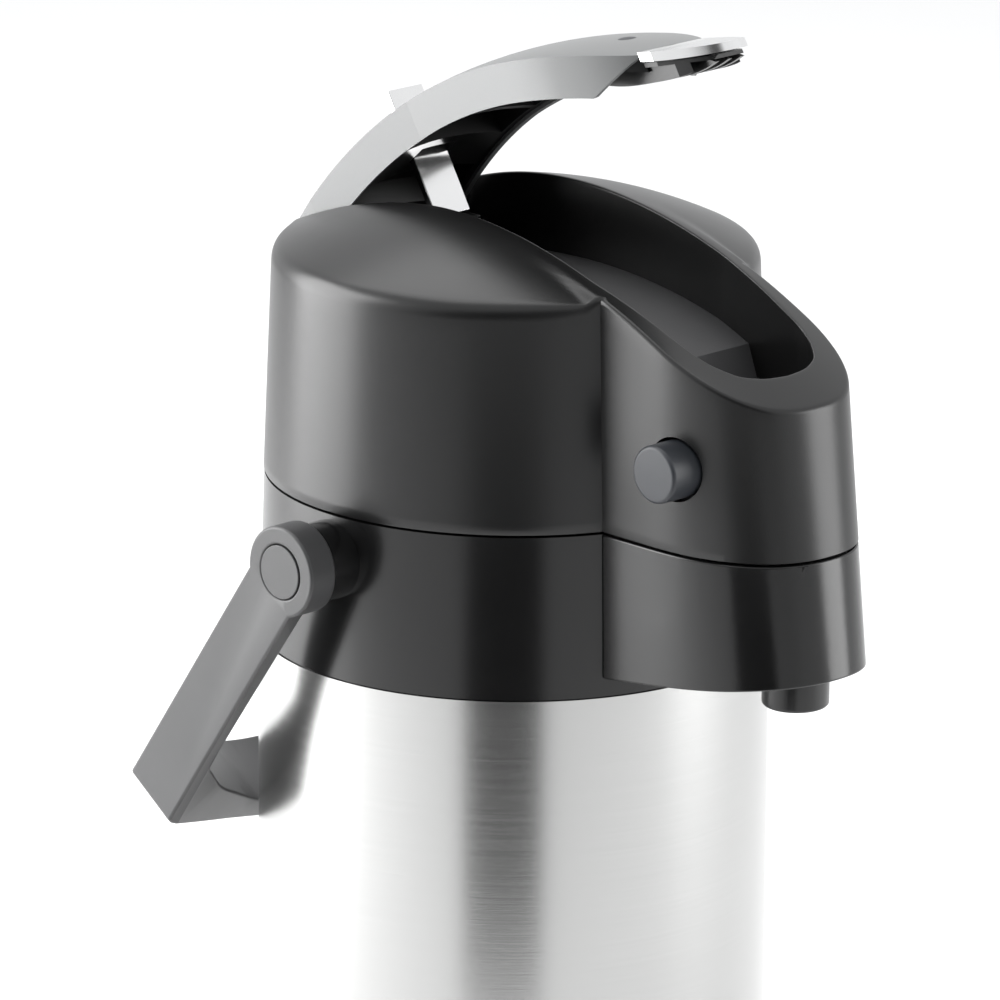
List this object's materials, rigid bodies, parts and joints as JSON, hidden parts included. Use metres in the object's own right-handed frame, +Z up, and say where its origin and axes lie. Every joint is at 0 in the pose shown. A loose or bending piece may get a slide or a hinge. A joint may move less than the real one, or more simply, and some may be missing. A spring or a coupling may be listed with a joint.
{
  "type": "thermal coffee airpot",
  "caption": "Insulated airpot for hot drinks: steel-jacketed vacuum bottle on a turning base, lever-worked air pump in a hinged lid, spout nose and carrying bail.",
  "frame": {"origin": "centre of the round base, on the floor", "axes": "+Z up, -Y towards the spout, +X to the right seen from the front"},
  "size_m": [0.1924, 0.2448, 0.4288],
  "materials": {
    "black_plastic": "moulded, satin",
    "gloss_black": "moulded, semi-gloss",
    "grey_plastic": "moulded, satin",
    "button_plastic": "moulded, satin",
    "inner_plastic": "moulded, matt",
    "brushed_steel": "brushed round the body",
    "bottle_steel": "satin",
    "silver_cover": "satin plated",
    "bright_chrome": "polished",
    "zinc_steel": "plated",
    "seal_rubber": "silicone",
    "black_rubber": "matt",
    "bellows_rubber": "matt"
  },
  "bodies": {
    "turntable": {"swivel_base": "black_plastic", "foot_pad": "black_rubber", "swivel_washer": "inner_plastic"},
    "body": {"base_ring": "black_plastic", "outer_jacket": "brushed_steel", "jacket_bottom": "bottle_steel", "inner_bottle": "bottle_steel", "bottle_cushion": "black_rubber", "mouth_seal": "seal_rubber", "collar": "gloss_black", "spout_cover": "gloss_black", "spout_screws": "zinc_steel", "stem_head": "inner_plastic", "dip_tube": "inner_plastic", "delivery_pipe": "inner_plastic", "pipe_seal": "seal_rubber", "nozzle": "black_plastic", "lid_hinge_bracket": "black_plastic", "lid_hinge_pin": "zinc_steel", "pivot_pins": "zinc_steel", "bail_screws": "zinc_steel"},
    "lid": {"lid_shell": "black_plastic", "recess_tray": "black_plastic", "lid_plate": "inner_plastic", "lid_gasket": "seal_rubber", "lid_screws": "zinc_steel", "lever_pin": "zinc_steel", "button_bracket": "inner_plastic", "pump_base": "inner_plastic", "bellows": "bellows_rubber", "return_spring": "zinc_steel", "button_spring": "zinc_steel"},
    "pump_plunger": {"plunger": "black_plastic"},
    "lever": {"lever_cover": "silver_cover", "lever_body": "black_plastic", "lever_tip": "bright_chrome", "finger_grip": "black_plastic"},
    "lock": {"lock_plate": "bright_chrome"},
    "release": {"release_button": "button_plastic", "latch": "inner_plastic"},
    "bail": {"bail": "grey_plastic", "bail_cap_left": "black_plastic", "bail_cap_right": "black_plastic"}
  },
  "joints": [
    {"name": "base_turn", "type": "hinge", "parent": "turntable", "child": "body", "pos_m": [0, 0, 0], "axis": [0, 0, 1], "continuous": true},
    {"name": "lid_hinge", "type": "hinge", "parent": "body", "child": "lid", "pos_m": [0, 0.081, 0.281], "axis": [-1, 0, 0], "range_deg": [0, 85]},
    {"name": "lever_hinge", "type": "hinge", "parent": "lid", "child": "lever", "pos_m": [0, 0.06, 0.344], "axis": [1, 0, 0], "range_deg": [0, 31.5]},
    {"name": "plunger_slide", "type": "slide", "parent": "lid", "child": "pump_plunger", "axis": [0, 0, -1], "range_m": [0, 0.0179], "stiffness_N_per_m": 500, "springref_m": -0.02, "deforming": ["bellows", "return_spring"]},
    {"name": "lock_slide", "type": "slide", "parent": "lever", "child": "lock", "axis": [0, -0.8526, 0.5225], "range_m": [0, 0.005]},
    {"name": "release_slide", "type": "slide", "parent": "lid", "child": "release", "axis": [1, 0, 0], "range_m": [0, 0.004], "stiffness_N_per_m": 600, "springref_m": -0.003, "deforming": ["button_spring"]},
    {"name": "bail_swing", "type": "hinge", "parent": "body", "child": "bail", "pos_m": [0, 0, 0.267], "axis": [1, 0, 0], "range_deg": [0, 120]}
  ],
  "couplings": [
    {"joint": "plunger_slide", "follows": "lever_hinge", "m_per_rad": 0.032559}
  ]
}
